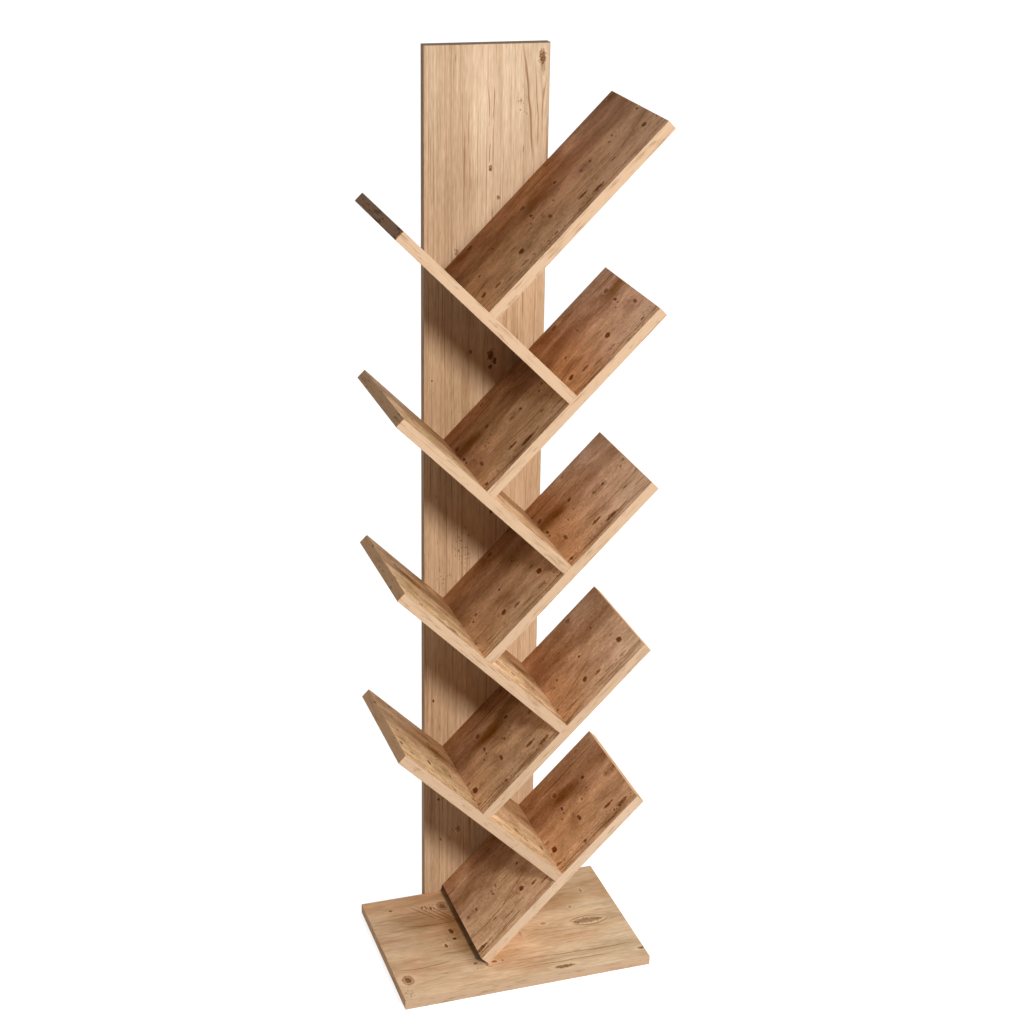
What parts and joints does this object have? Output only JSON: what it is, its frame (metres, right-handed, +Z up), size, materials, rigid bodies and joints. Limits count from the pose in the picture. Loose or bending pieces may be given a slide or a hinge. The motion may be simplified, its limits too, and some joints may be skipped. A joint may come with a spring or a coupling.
{
  "type": "tree shaped bookshelf",
  "caption": "Free-standing tree shaped bookshelf: slanted boards branch left and right from a tall back board on a flat base and hold books in the square spaces between them",
  "frame": {"origin": "middle of the footprint on the floor: half-way across the base plate, and half-way between its front edge and the back of the trunk board", "axes": "+Z up, +Y towards the wall behind the trunk board, +X to the right seen from the front"},
  "size_m": [0.45, 0.33, 1.5756],
  "materials": {
    "board": "pine-decor melamine face, satin, with knots and long grain",
    "edging": "pale pine-decor edging strip, satin, rounded edges",
    "screw_steel": "zinc-plated steel",
    "dowel_wood": "plain beech"
  },
  "bodies": {
    "root": {"base_plate": "board", "base_plate_edging": "edging", "trunk_board": "board", "trunk_board_edging": "edging", "right_shelf_1": "board", "right_shelf_1_edging": "edging", "right_shelf_2": "board", "right_shelf_2_edging": "edging", "right_shelf_3": "board", "right_shelf_3_edging": "edging", "right_shelf_4": "board", "right_shelf_4_edging": "edging", "right_shelf_5": "board", "right_shelf_5_edging": "edging", "left_shelf_1": "board", "left_shelf_1_edging": "edging", "left_shelf_2": "board", "left_shelf_2_edging": "edging", "left_shelf_3": "board", "left_shelf_3_edging": "edging", "left_shelf_4": "board", "left_shelf_4_edging": "edging", "shelf_screws": "screw_steel", "base_screws": "screw_steel", "shelf_dowels": "dowel_wood"}
  },
  "joints": []
}
